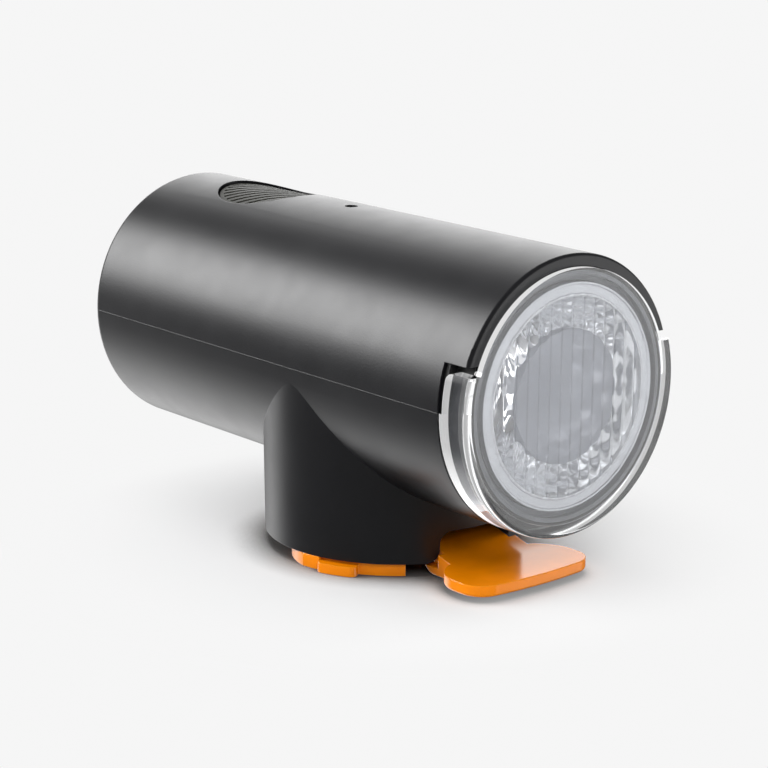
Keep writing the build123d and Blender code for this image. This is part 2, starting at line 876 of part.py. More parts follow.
def port_cover():
    # A rubber flap with hinge pins at its lower end and a plug that seals the port
    inner = cover_middle - cover_thickness / 2
    section = cover_outline(cover_half_width, cover_pivot, cover_top, cover_corner - slip)
    flap = extrude(rear_plane(inner) * section, cover_thickness)
    flap += rod_x(cover_end_round, -cover_half_width, cover_half_width, cover_middle, cover_pivot)
    pin_end = cover_recess_half_width + cover_pin_length
    flap += rod_x(cover_pin_radius, -pin_end, pin_end, cover_middle, cover_pivot)
    plug_end = port_mouth - cover_plug_reach
    return in_place(flap + oval_y(cover_plug_width, cover_plug_height, plug_end, inner + slip, port_level))


def case_screws():
    return in_place(screws_at(case_screw_places(), -case_screw_seat, case_screw_length))


# Foot plate, lever, pin and spring
def wedge(start, end, radius):
    # A sector between two angles measured from the front, -Y, towards -X
    turns = [radians(270 - start), radians(270 - (start + end) / 2), radians(270 - end)]
    rim = [(2 * radius * cos(turn), 2 * radius * sin(turn)) for turn in turns]
    return make_face(Polyline((0, 0), *rim, close=True))


def both_sides(sketch):
    return sketch + mirror(sketch, Plane.YZ)


def plate_shoulder():
    # The plate's side behind the lug: a little wider, and rounded off towards the rear
    shoulder = Circle(plate_radius + shoulder_reach) & wedge(lug_end, shoulder_end, plate_radius)
    return shoulder & Pos(-shoulder_round_x, shoulder_round_y) * Circle(shoulder_round)


def plate_lug():
    outer = Circle(plate_radius + lug_reach) & wedge(lug_start, lug_end, plate_radius)
    lug = outer - Circle(plate_core_radius)
    return fillet(lug.vertices().group_by(SortBy.DISTANCE)[-1], lug_corner)


def base_plate():
    recess = wedge((lug_end + shoulder_end) / 2, plate_recess_end, plate_radius)
    recess -= Circle(plate_radius - plate_recess_depth)
    front = Circle(plate_radius) & wedge(0, lug_end, plate_radius)
    outline = Circle(plate_core_radius) - both_sides(recess)
    outline += both_sides(front) + both_sides(plate_shoulder())
    plate = plan(outline, 0, plate_thickness)
    plate += plan(Circle(plate_core_radius), plate_thickness - plate_web, plate_thickness)
    plate += plan(both_sides(plate_lug()), 0, plate_thickness - lug_drop)
    cut = Rectangle(2 * plate_cutout_half_width, reach, align=(Align.CENTER, Align.MAX))
    plate -= plan(Pos(0, -plate_cutout_depth) * cut, -1, plate_thickness + 1)
    for side in (-1, 1):
        near = side * (lever_tongue_half_width + free_gap)
        far = near + side * ear_thickness
        x0, x1 = min(near, far), max(near, far)
        front, rear = lever_pivot_y - ear_radius, lever_pivot_y + ear_radius
        ear = block(x0, x1, front, rear, plate_thickness, lever_pivot_z)
        ear += rod_x(ear_radius, x0, x1, lever_pivot_y, lever_pivot_z)
        plate += ear & above(plate_thickness / 2)
    plate -= rod_x(lever_pin_radius, -reach, reach, lever_pivot_y, lever_pivot_z)
    for x, y in base_screw_places():
        plate -= rod_z(screw_hole, -1, plate_thickness + 1, x, y)
        plate -= rod_z(screw_head_radius + slip, -1, base_screw_seat, x, y)
    return plate


def base_screws():
    return screws_at(base_screw_places(), base_screw_seat, base_screw_length)


def lever_tab():
    # The tab's outline: a slightly bowed front edge and large round corners
    tab = Pos(0, tab_rear) * Rectangle(2 * tab_half_width, tab_length, align=(Align.CENTER, Align.MAX))
    tab &= Pos(0, tab_front + tab_bow_radius) * Circle(tab_bow_radius)
    tab = fillet(tab.vertices().group_by(Axis.Y)[-1], tab_rear_corner)
    return fillet(tab.vertices().group_by(Axis.Y)[0], tab_front_corner)


def lever_stretch(half_width, front, rear):
    return Pos(0, rear) * Rectangle(2 * half_width, rear - front, align=(Align.CENTER, Align.MAX))


def lever_plan():
    neck = lever_stretch(lever_neck_half_width, tab_rear - tab_rear_corner, -neck_reach)
    throat = lever_stretch(lever_throat_half_width, tab_rear, lever_slope_rear + lever_thickness)
    tongue = lever_stretch(lever_tongue_half_width, tab_rear, lever_pivot_y)
    return lever_tab() + neck + throat + tongue


def lever_side():
    # Side view: a flat tab that sweeps up through the notch to a level tongue back to the hub
    tab_top = tab_bottom + tab_height
    tongue_bottom = lever_tongue_top - lever_thickness
    points = [(tab_front - 1, tab_top), (lever_slope_front, tab_top), (lever_slope_rear, lever_tongue_top),
              (lever_pivot_y, lever_tongue_top), (lever_pivot_y, tongue_bottom),
              (catch_rear, tongue_bottom), (catch_rear - catch_slant, tab_bottom),
              (tab_front - 1, tab_bottom)]
    profile = make_face(Polyline(*points, close=True))
    for y, z, radius in ((*points[1], lever_lower_bend), (*points[2], lever_upper_bend)):
        bend = profile.vertices().sort_by_distance((y, z))[0]
        profile = fillet(bend, radius)
    return extrude(Plane.YZ * profile, tab_half_width + 1, both=True)


def lever_catch():
    # The block under the neck that hooks behind the bracket's edge, its wings below the pedestal's rim
    points = [(catch_rear, catch_top), (catch_rear - catch_slant, catch_bottom)]
    points += [(catch_front, catch_bottom), (catch_front, catch_top)]
    profile = make_face(Polyline(*points, close=True))
    profile = fillet(profile.vertices().sort_by_distance(points[1])[0], catch_round)
    return extrude(Plane.YZ * profile, lever_neck_half_width, both=True)


def release_lever():
    lever = plan(lever_plan(), 0, lever_tongue_top + 1) & lever_side()
    under = lever.edges().filter_by_position(Axis.Z, 0, tab_bottom + pin_clearance)
    lever = fillet(under.filter_by_position(Axis.Y, tab_front - 1, tab_rear), tab_edge_round)
    lever += lever_catch()
    half = lever_tongue_half_width
    lever += rod_x(lever_hub_radius, -half, half, lever_pivot_y, lever_pivot_z)
    inside = lever_tongue_top - spring_pip_root
    stop_front = -plate_cutout_depth + stop_gap
    lever += block(-half + stop_inset, half - stop_inset, stop_front, stop_front + stop_length,
                   plate_thickness + stop_gap, inside)
    lever += rod_z(spring_pip_radius, inside, lever_tongue_top + spring_pip_height, 0, spring_y)
    return lever - rod_x(lever_pin_radius + pin_clearance, -half - 1, half + 1, lever_pivot_y, lever_pivot_z)


def lever_pin():
    end = lever_tongue_half_width + free_gap + ear_thickness
    return rod_x(lever_pin_radius, -end, end, lever_pivot_y, lever_pivot_z)


def lever_spring():
    low = lever_tongue_top + spring_wire_radius + pin_clearance
    height = spring_seat_level - spring_wire_radius - pin_clearance - low
    route = Pos(0, spring_y, low) * Helix(height / spring_turns, height, spring_coil_radius)
    section = Plane(route @ 0, z_dir=route % 0) * RegularPolygon(spring_wire_radius, 6)
    return sweep(section, path=route, is_frenet=True)


save(upper_shell(), "upper_shell")
save(lower_shell(), "lower_shell")
save(front_lens(), "front_lens")
save(lens_seal(), "lens_seal")
save(bezel_ring(), "bezel_ring")
save(reflector(), "reflector")
save(collimator(), "collimator")
save(led_board(), "led_board")
save(led_emitter(), "led_emitter")
save(heat_sink(), "heat_sink")
save(optic_screws(), "optic_screws")
save(battery_cell(), "battery_cell")
save(cell_tab(nub_front - tab_thickness), "cell_tab_front")
save(cell_tab(cell_rear), "cell_tab_rear")
save(battery_cradle(), "battery_cradle")
save(battery_pad(), "battery_pad")
save(main_board(), "main_board")
save(board_screws(), "board_screws")
save(driver_inductor(), "driver_inductor")
save(charge_chip(), "charge_chip")
save(led_lead(-1), "led_lead_left")
save(led_lead(1), "led_lead_right")
save(cell_lead(nub_front - tab_thickness, -1, cell_lead_front_end), "cell_lead_front")
save(cell_lead(cell_rear + tab_thickness, 1, cell_lead_rear_end), "cell_lead_rear")
save(button_cap(), "button_cap")
save(button_seal(), "button_seal")
save(button_frame(), "button_frame")
save(switch_body(), "switch_body")
save(switch_stem(), "switch_stem")
save(indicator_led(), "indicator_led")
save(light_pipe(), "light_pipe")
save(port_shell_tube(), "port_shell")
save(port_insert(), "port_insert")
save(port_cover(), "port_cover")
save(case_screws(), "case_screws")
save(base_plate(), "base_plate")
save(base_screws(), "base_screws")
save(release_lever(), "release_lever")
save(lever_pin(), "lever_pin")
save(lever_spring(), "lever_spring")
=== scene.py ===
import json
import math

import bmesh
import bpy
from mathutils import Matrix, Vector


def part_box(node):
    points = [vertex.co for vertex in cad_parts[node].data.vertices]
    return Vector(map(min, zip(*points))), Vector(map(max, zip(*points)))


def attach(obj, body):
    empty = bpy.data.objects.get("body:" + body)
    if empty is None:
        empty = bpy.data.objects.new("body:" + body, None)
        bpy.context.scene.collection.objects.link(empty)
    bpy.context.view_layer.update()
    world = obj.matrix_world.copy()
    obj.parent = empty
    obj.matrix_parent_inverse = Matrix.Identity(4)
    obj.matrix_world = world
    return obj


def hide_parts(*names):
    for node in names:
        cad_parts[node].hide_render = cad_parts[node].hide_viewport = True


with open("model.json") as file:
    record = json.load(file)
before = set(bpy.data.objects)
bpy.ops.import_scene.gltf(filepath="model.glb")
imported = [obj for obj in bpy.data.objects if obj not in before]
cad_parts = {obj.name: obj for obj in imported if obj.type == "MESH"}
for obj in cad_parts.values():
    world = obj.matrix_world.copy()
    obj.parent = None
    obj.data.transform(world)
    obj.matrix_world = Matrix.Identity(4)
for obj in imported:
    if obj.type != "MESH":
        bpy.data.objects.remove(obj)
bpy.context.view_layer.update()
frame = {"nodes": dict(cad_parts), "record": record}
nodes = frame["nodes"]
record = frame["record"]
mm = 0.001

# Places that the pieces share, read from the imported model
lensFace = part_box("front_lens")[0].y
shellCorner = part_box("upper_shell")[1]
axisHeight = shellCorner.z - shellCorner.x  # the barrel's top, less its radius


# A direction away from the lamp, in degrees round from the lens side and up
def heading(azimuth, elevation):
    turn, rise = math.radians(azimuth), math.radians(elevation)
    return Vector((math.sin(turn) * math.cos(rise), -math.cos(turn) * math.cos(rise), math.sin(rise)))


# The camera, solved from the edges of the barrel, the hood and the foot in the photograph
cameraView = {
    "azimuth": -40.341,
    "elevation": 14.209,
    "roll": 0.565,
    "distance": 302.546 * mm,
    "target": (1.613 * mm, 4.054 * mm, 19.192 * mm),
    "focalPixels": 2348.145,
    "imagePixels": 768,
    "sensorWidth": 36.0,
    "clipStart": 10 * mm,
}


def addCamera():
    turn, roll = math.radians(cameraView["azimuth"]), math.radians(cameraView["roll"])
    back = heading(cameraView["azimuth"], cameraView["elevation"])
    level = Vector((math.cos(turn), math.sin(turn), 0))
    upright = back.cross(level)
    right = math.cos(roll) * level + math.sin(roll) * upright
    up = math.cos(roll) * upright - math.sin(roll) * level
    data = bpy.data.cameras.new("photoCamera")
    data.sensor_width = cameraView["sensorWidth"]
    data.lens = cameraView["focalPixels"] / cameraView["imagePixels"] * data.sensor_width
    data.clip_start = cameraView["clipStart"]
    camera = bpy.data.objects.new("photoCamera", data)
    spot = Matrix((right, up, back)).transposed().to_4x4()
    spot.translation = Vector(cameraView["target"]) + cameraView["distance"] * back
    camera.matrix_world = spot
    bpy.context.scene.collection.objects.link(camera)
    bpy.context.scene.camera = camera


addCamera()
print("camera placed")


# Short ways to build node trees
def addNode(tree, kind, values=None, **settings):
    node = tree.nodes.new(kind)
    for key, value in settings.items():
        setattr(node, key, value)
    for socket, value in (values or {}).items():
        node.inputs[socket].default_value = value
    return node


def plug(tree, source, output, target, socket):
    tree.links.new(source.outputs[output], target.inputs[socket])


def combine(tree, operation, first, second):
    node = addNode(tree, "ShaderNodeMath", operation=operation)
    for socket, value in enumerate((first, second)):
        if isinstance(value, (int, float)):
            node.inputs[socket].default_value = value
        else:
            tree.links.new(value, node.inputs[socket])
    return node.outputs[0]


def centred(tree, share):
    # A share from 0 to 1, turned into a place from -1 to 1
    return combine(tree, "SUBTRACT", combine(tree, "MULTIPLY", share, 2.0), 1.0)


def fromLensFace(tree, place):
    # A point's place across the barrel, behind the lens face and over the barrel's axis, and its distance
    # and direction from that axis
    lift = addNode(tree, "ShaderNodeVectorMath", {1: (0, -lensFace, -axisHeight)}, operation="ADD")
    flat = addNode(tree, "ShaderNodeVectorMath", {1: (1, 0, 1)}, operation="MULTIPLY")
    length = addNode(tree, "ShaderNodeVectorMath", operation="LENGTH")
    split = addNode(tree, "ShaderNodeSeparateXYZ")
    tree.links.new(place, lift.inputs[0])
    plug(tree, lift, "Vector", flat, 0)
    plug(tree, lift, "Vector", split, "Vector")
    plug(tree, flat, "Vector", length, 0)
    return split.outputs, length.outputs["Value"], flat.outputs["Vector"]


def newGroup(name, inputs, outputs):
    group = bpy.data.node_groups.new(name, "ShaderNodeTree")
    for label, kind, value in inputs:
        socket = group.interface.new_socket(label, in_out="INPUT", socket_type=kind)
        socket.default_value = value
    for label, kind in outputs:
        group.interface.new_socket(label, in_out="OUTPUT", socket_type=kind)
    return group, group.nodes.new("NodeGroupInput"), group.nodes.new("NodeGroupOutput")


def placeGroup(tree, group, values):
    node = addNode(tree, "ShaderNodeGroup", node_tree=group)
    for socket, value in values.items():
        node.inputs[socket].default_value = value
    return node


# Studio: what gloss and glass see is a few soft lobes, and lamps light the matt surfaces
studio = {
    "background": 0.92,
    "ambient": 0.33,
    "glossBase": 0.2,
    "glassBase": 0.66,
    "glassShare": 0.05,  # how much of the lobes clear plastic lets through, beside the glass lobes
    "lobes": (
        {"azimuth": -142, "elevation": 26, "inner": 6, "outer": 24, "radiance": 9.8},
        {"azimuth": 143, "elevation": 17, "inner": 4, "outer": 32, "radiance": 2.3},
        {"azimuth": 176, "elevation": -42, "inner": 8, "outer": 34, "radiance": 1.9},
        {"azimuth": -170, "elevation": -14, "inner": 6, "outer": 20, "radiance": 0.9},
        {"azimuth": 52, "elevation": -14, "inner": 8, "outer": 30, "radiance": 1.5},
    ),
    "glassLobes": (
        {"azimuth": -20, "elevation": 14, "inner": 4, "outer": 13, "radiance": 1.8},
        {"azimuth": 78, "elevation": 34, "inner": 7, "outer": 13, "radiance": 1.2},
        {"azimuth": 50, "elevation": 8, "inner": 8, "outer": 22, "radiance": 1.2},
        {"azimuth": 20, "elevation": 62, "inner": 8, "outer": 16, "radiance": 1.0},
    ),
}


def lobeGroup():
    group, start, end = newGroup("softLobe", [
        ("Direction", "NodeSocketVector", (0, 0, 0)),
        ("Centre", "NodeSocketVector", (0, 0, 1)),
        ("Outer", "NodeSocketFloat", 0.5),
        ("Inner", "NodeSocketFloat", 0.9),
        ("Radiance", "NodeSocketFloat", 1.0),
    ], [("Value", "NodeSocketFloat")])
    dot = addNode(group, "ShaderNodeVectorMath", operation="DOT_PRODUCT")
    fall = addNode(group, "ShaderNodeMapRange", interpolation_type="SMOOTHSTEP")
    plug(group, start, "Direction", dot, 0)
    plug(group, start, "Centre", dot, 1)
    plug(group, dot, "Value", fall, "Value")
    plug(group, start, "Outer", fall, "From Min")
    plug(group, start, "Inner", fall, "From Max")
    plug(group, start, "Radiance", fall, "To Max")
    plug(group, fall, "Result", end, "Value")
    return group


def addWorld():
    world = bpy.data.worlds.new("studioWorld")
    bpy.context.scene.world = world
    world.use_nodes = True
    tree = world.node_tree
    tree.nodes.clear()
    place = addNode(tree, "ShaderNodeTexCoord")
    path = addNode(tree, "ShaderNodeLightPath")
    lobe = lobeGroup()
    totals = {}
    for kind in ("lobes", "glassLobes"):
        totals[kind] = 0.0
        for spec in studio[kind]:
            node = placeGroup(tree, lobe, {
                "Centre": heading(spec["azimuth"], spec["elevation"]),
                "Inner": math.cos(math.radians(spec["inner"])),
                "Outer": math.cos(math.radians(spec["outer"])),
                "Radiance": spec["radiance"],
            })
            plug(tree, place, "Generated", node, "Direction")
            totals[kind] = combine(tree, "ADD", node.outputs["Value"], totals[kind])
    through = path.outputs["Is Transmission Ray"]
    share = combine(tree, "SUBTRACT", 1.0, combine(tree, "MULTIPLY", through, 1 - studio["glassShare"]))
    glass = combine(tree, "ADD", totals["glassLobes"], studio["glassBase"])
    glass = combine(tree, "MULTIPLY", through, glass)
    seen = combine(tree, "ADD", combine(tree, "MULTIPLY", totals["lobes"], share), glass)
    seen = combine(tree, "ADD", seen, studio["glossBase"])
    matt = combine(tree, "MULTIPLY", path.outputs["Is Diffuse Ray"], studio["ambient"])
    notMatt = combine(tree, "SUBTRACT", 1.0, path.outputs["Is Diffuse Ray"])
    seen = combine(tree, "ADD", combine(tree, "MULTIPLY", seen, notMatt), matt)
    notCamera = combine(tree, "SUBTRACT", 1.0, path.outputs["Is Camera Ray"])
    paper = combine(tree, "MULTIPLY", path.outputs["Is Camera Ray"], studio["background"])
    seen = combine(tree, "ADD", combine(tree, "MULTIPLY", seen, notCamera), paper)
    glow = addNode(tree, "ShaderNodeBackground", {"Color": (1, 1, 1, 1)})
    end = addNode(tree, "ShaderNodeOutputWorld")
    tree.links.new(seen, glow.inputs["Strength"])
    plug(tree, glow, "Background", end, "Surface")


lamps = {
    "leftLamp": {"azimuth": -115, "elevation": 32, "distance": 0.8, "size": 0.5, "power": 0.9},
    "frontLamp": {"azimuth": -25, "elevation": 38, "distance": 0.8, "size": 0.45, "power": 2.7},
    "rightLamp": {"azimuth": 85, "elevation": 30, "distance": 0.8, "size": 0.5, "power": 2.5},
    "topLamp": {"azimuth": 180, "elevation": 80, "distance": 0.8, "size": 0.35, "power": 0.8},
}


def addLamps():
    middle = Vector((0, 0, axisHeight))
    for name, spec in lamps.items():
        data = bpy.data.lights.new(name, "AREA")
        data.shape = "DISK"
        data.size = spec["size"]
        data.energy = spec["power"]
        lamp = bpy.data.objects.new(name, data)
        aim = heading(spec["azimuth"], spec["elevation"])
        lamp.matrix_world = aim.to_track_quat("Z", "Y").to_matrix().to_4x4()
        lamp.matrix_world.translation = middle + spec["distance"] * aim
        lamp.visible_glossy = False
        lamp.visible_transmission = False
        bpy.context.scene.collection.objects.link(lamp)


floorSheet = {
    "size": 6.0,
    "drop": 0.01 * mm,
    "colour": (0.88, 0.88, 0.883),
    "near": 14 * mm,
    "far": 50 * mm,
    "contact": 8 * mm,  # how far the contact shade looks for something above the floor
    "closed": 0.45,  # the share of open sky at which the contact shade is full
    "open": 0.85,
    "contactShade": 0.1,
    "skin": 0.2 * mm,  # light that starts this close to the floor passes it, so the underside isn't black
}


def addFloor():
    # Near the lamp the floor takes its shadow from the lights, darkened further by a painted contact shade,
    # and further out it turns into the paper background
    half = floorSheet["size"] / 2
    mesh = bpy.data.meshes.new("studioFloor")
    level = -floorSheet["drop"]
    corners = [(-half, -half, level), (half, -half, level), (half, half, level), (-half, half, level)]
    mesh.from_pydata(corners, [], [(0, 1, 2, 3)])
    floor = bpy.data.objects.new("studioFloor", mesh)
    bpy.context.scene.collection.objects.link(floor)
    material = bpy.data.materials.new("studioPaper")
    material.use_nodes = True
    tree = material.node_tree
    tree.nodes.clear()
    place = addNode(tree, "ShaderNodeTexCoord")
    length = addNode(tree, "ShaderNodeVectorMath", operation="LENGTH")
    fade = addNode(tree, "ShaderNodeMapRange", {
        "From Min": floorSheet["near"], "From Max": floorSheet["far"]}, interpolation_type="SMOOTHSTEP")
    path = addNode(tree, "ShaderNodeLightPath")
    paper = addNode(tree, "ShaderNodeBsdfDiffuse")
    # A painted contact shade darkens the paper's colour where the occlusion node finds something close above
    nearby = addNode(tree, "ShaderNodeAmbientOcclusion", {"Distance": floorSheet["contact"]}, samples=8)
    contact = addNode(tree, "ShaderNodeMapRange", {
        "From Min": floorSheet["closed"], "From Max": floorSheet["open"],
        "To Min": floorSheet["contactShade"]})
    colour = addNode(tree, "ShaderNodeVectorMath", {1: floorSheet["colour"]}, operation="MULTIPLY")
    glow = addNode(tree, "ShaderNodeEmission", {"Color": (1, 1, 1, 1), "Strength": studio["background"]})
    mix = addNode(tree, "ShaderNodeMixShader")
    side = addNode(tree, "ShaderNodeNewGeometry")
    nothing = addNode(tree, "ShaderNodeBsdfTransparent")
    shown = addNode(tree, "ShaderNodeMixShader")
    end = addNode(tree, "ShaderNodeOutputMaterial")
    close = combine(tree, "LESS_THAN", path.outputs["Ray Length"], floorSheet["skin"])
    tree.links.new(combine(tree, "MAXIMUM", close, side.outputs["Backfacing"]), shown.inputs[0])
    plug(tree, place, "Object", length, 0)
    plug(tree, length, "Value", fade, "Value")
    faded = combine(tree, "MULTIPLY", fade.outputs["Result"], path.outputs["Is Camera Ray"])
    tree.links.new(faded, mix.inputs[0])
    plug(tree, nearby, "AO", contact, "Value")
    plug(tree, contact, "Result", colour, 0)
    plug(tree, colour, "Vector", paper, "Color")
    plug(tree, paper, "BSDF", mix, 1)
    plug(tree, glow, "Emission", mix, 2)
    plug(tree, mix, "Shader", shown, 1)
    plug(tree, nothing, "BSDF", shown, 2)
    plug(tree, shown, "Shader", end, "Surface")
    mesh.materials.append(material)
    floor.visible_glossy = False


bpy.context.scene.view_settings.view_transform = "Standard"
addWorld()
addLamps()
addFloor()
print("studio lit")


# Effects that several finishes share
surfaceWork = {
    "pitShare": 0.6,  # the height of the grain's pits against its fine noise
    "grainDepth": 0.02 * mm,
    "grainShades": (0.85, 1.15),
    "grainGloss": 0.05,
    "grainEdge": 0.08,  # mm, as in the finishes
    "clearMottle": 120.0,
    "marksDepth": 0.01 * mm,
    "marksShades": (0.88, 1.08),
    "marksGloss": 0.06,
    "marksEdge": 0.06,
    "wearStart": 0.99,  # cosines between the flat and the rounded normal at an edge
    "wearFull": 0.8,
    "lowerFrom": -3 * mm,  # heights over the barrel's axis, between which a ring's lower share fades
    "upperFrom": 2 * mm,
    "ringDim": 0.001,  # light under which a ring counts as dark
}


def grainGroup():
    # Fine moulded grain: a height for bumps and a slow mottle for colour and gloss
    group, start, end = newGroup("mouldGrain", [
        ("Scale", "NodeSocketFloat", 5000.0),
        ("Mottle Scale", "NodeSocketFloat", 220.0),
    ], [("Height", "NodeSocketFloat"), ("Mottle", "NodeSocketFloat")])
    place = addNode(group, "ShaderNodeTexCoord")
    fine = addNode(group, "ShaderNodeTexNoise", {"Detail": 3.0, "Roughness": 0.6})
    pits = addNode(group, "ShaderNodeTexVoronoi", feature="SMOOTH_F1")
    slow = addNode(group, "ShaderNodeTexNoise", {"Detail": 4.0, "Roughness": 0.55})
    for texture in (fine, pits, slow):
        plug(group, place, "Object", texture, "Vector")
    plug(group, start, "Scale", fine, "Scale")
    plug(group, start, "Scale", pits, "Scale")
    plug(group, start, "Mottle Scale", slow, "Scale")
    pitted = combine(group, "MULTIPLY", pits.outputs["Distance"], surfaceWork["pitShare"])
    group.links.new(combine(group, "ADD", fine.outputs["Fac"], pitted), end.inputs["Height"])
    plug(group, slow, "Fac", end, "Mottle")
    return group


def edgeGroup():
    # Softened edges: a rounded normal, and a mask that is 1 along the edges
    group, start, end = newGroup("softEdge", [
        ("Radius", "NodeSocketFloat", 0.0001),
    ], [("Normal", "NodeSocketVector"), ("Edge", "NodeSocketFloat")])
    rounded = addNode(group, "ShaderNodeBevel", samples=6)
    shape = addNode(group, "ShaderNodeNewGeometry")
    dot = addNode(group, "ShaderNodeVectorMath", operation="DOT_PRODUCT")
    mask = addNode(group, "ShaderNodeMapRange", {
        "From Min": surfaceWork["wearStart"], "From Max": surfaceWork["wearFull"]})
    plug(group, start, "Radius", rounded, "Radius")
    plug(group, rounded, "Normal", dot, 0)
    plug(group, shape, "Normal", dot, 1)
    plug(group, dot, "Value", mask, "Value")
    plug(group, rounded, "Normal", end, "Normal")
    plug(group, mask, "Result", end, "Edge")
    return group


def paintedRingGroup():
    # A ring, given by its radii and its depths behind the lens face, used both for painted glow and as the
    # mask of a painted shade
    group, start, end = newGroup("paintedRing", [
        ("Nearest", "NodeSocketFloat", 0.0),
        ("Deepest", "NodeSocketFloat", 0.0),
        ("Inner Radius", "NodeSocketFloat", 0.0),
        ("Outer Radius", "NodeSocketFloat", 0.0),
        ("Light", "NodeSocketFloat", 0.2),
        ("Far Light", "NodeSocketFloat", 0.2),
        ("Lower Share", "NodeSocketFloat", 1.0),
    ], [("Value", "NodeSocketFloat")])
    here = addNode(group, "ShaderNodeTexCoord")
    place, radius, _ = fromLensFace(group, here.outputs["Object"])
    fade = addNode(group, "ShaderNodeMapRange")
    lower = addNode(group, "ShaderNodeMapRange", {
        "From Min": surfaceWork["lowerFrom"], "From Max": surfaceWork["upperFrom"]})
    group.links.new(place["Y"], fade.inputs["Value"])
    plug(group, start, "Nearest", fade, "From Min")
    plug(group, start, "Deepest", fade, "From Max")
    plug(group, start, "Light", fade, "To Min")
    plug(group, start, "Far Light", fade, "To Max")
    group.links.new(place["Z"], lower.inputs["Value"])
    plug(group, start, "Lower Share", lower, "To Min")
    light = combine(group, "MULTIPLY", fade.outputs["Result"], lower.outputs["Result"])
    limits = ((place["Y"], "GREATER_THAN", "Nearest"), (place["Y"], "LESS_THAN", "Deepest"),
              (radius, "GREATER_THAN", "Inner Radius"), (radius, "LESS_THAN", "Outer Radius"))
    for measure, side, limit in limits:
        inside = combine(group, side, measure, start.outputs[limit])
        light = combine(group, "MULTIPLY", light, inside)
    group.links.new(light, end.inputs["Value"])
    return group


def paintedGlintGroup():
    # Painted glints, standing in for the sparkle of mirrored facets on a clear wall: small cells, few of
    # them bright
    group, start, end = newGroup("paintedGlint", [
        ("Scale", "NodeSocketFloat", 700.0),
        ("Sharpness", "NodeSocketFloat", 4.0),
    ], [("Value", "NodeSocketFloat")])
    place = addNode(group, "ShaderNodeTexCoord")
    cells = addNode(group, "ShaderNodeTexVoronoi", {"Randomness": 0.8})
    part = addNode(group, "ShaderNodeSeparateColor")
    plug(group, place, "Object", cells, "Vector")
    plug(group, start, "Scale", cells, "Scale")
    plug(group, cells, "Color", part, "Color")
    bright = combine(group, "POWER", part.outputs["Red"], start.outputs["Sharpness"])
    group.links.new(bright, end.inputs["Value"])
    return group


grain = grainGroup()
softEdge = edgeGroup()
paintedRing = paintedRingGroup()
paintedGlint = paintedGlintGroup()


def startMaterial(name):
    material = bpy.data.materials.new(name)
    material.use_nodes = True
    tree = material.node_tree
    return material, tree, tree.nodes["Principled BSDF"]


def spread(tree, mask, low, high):
    node = addNode(tree, "ShaderNodeMapRange", {"To Min": low, "To Max": high})
    tree.links.new(mask, node.inputs["Value"])
    return node.outputs["Result"]


def tint(tree, mask, first, second):
    node = addNode(tree, "ShaderNodeMix", data_type="RGBA")
    node.inputs[6].default_value = (*first, 1)
    node.inputs[7].default_value = (*second, 1)
    tree.links.new(mask, node.inputs[0])
    return node.outputs[2]


def placeRing(tree, near, far, inner, outer, light=1.0, farLight=1.0, lower=1.0):
    # Places in mm: nearest and deepest behind the lens face, inner and outer radius
    ring = placeGroup(tree, paintedRing, {
        "Nearest": near * mm, "Deepest": far * mm, "Inner Radius": inner * mm, "Outer Radius": outer * mm,
        "Light": light, "Far Light": farLight, "Lower Share": lower})
    return ring.outputs["Value"]


def paintedRingShade(tree, colour, look):
    # A painted shade: inside the ring the colour turns to the darker shade colour
    if "shade" not in look:
        return colour
    mix = addNode(tree, "ShaderNodeMix", data_type="RGBA")
    tree.links.new(placeRing(tree, *look["shade"]), mix.inputs[0])
    tree.links.new(colour, mix.inputs[6])
    mix.inputs[7].default_value = (*look["shadeColour"], 1)
    return mix.outputs[2]


def grained(name, look):
    # Moulded plastic or rubber: grain, mottled gloss and softened edges that are a little paler
    material, tree, shader = startMaterial(name)
    surface = placeGroup(tree, grain, {"Scale": look["scale"]})
    edges = placeGroup(tree, softEdge, {"Radius": look.get("edge", surfaceWork["grainEdge"]) * mm})
    bump = addNode(tree, "ShaderNodeBump", {"Strength": look["bump"], "Distance": surfaceWork["grainDepth"]})
    plug(tree, surface, "Height", bump, "Height")
    plug(tree, edges, "Normal", bump, "Normal")
    plug(tree, bump, "Normal", shader, "Normal")
    dark, pale = ([share * c for c in look["colour"]] for share in surfaceWork["grainShades"])
    # The grain's mottle, with a painted shade in a ring where the finish has one
    mottleAndPaintedShade = paintedRingShade(tree, tint(tree, surface.outputs["Mottle"], dark, pale), look)
    wear = addNode(tree, "ShaderNodeMix", data_type="RGBA")
    plug(tree, edges, "Edge", wear, 0)
    tree.links.new(mottleAndPaintedShade, wear.inputs[6])
    wear.inputs[7].default_value = (*look["worn"], 1)
    tree.links.new(wear.outputs[2], shader.inputs["Base Color"])
    low, high = (look["roughness"] + sign * surfaceWork["grainGloss"] for sign in (-1, 1))
    gloss = spread(tree, surface.outputs["Mottle"], low, high)
    tree.links.new(gloss, shader.inputs["Roughness"])
    shader.inputs["IOR"].default_value = look.get("ior", 1.5)
    return material


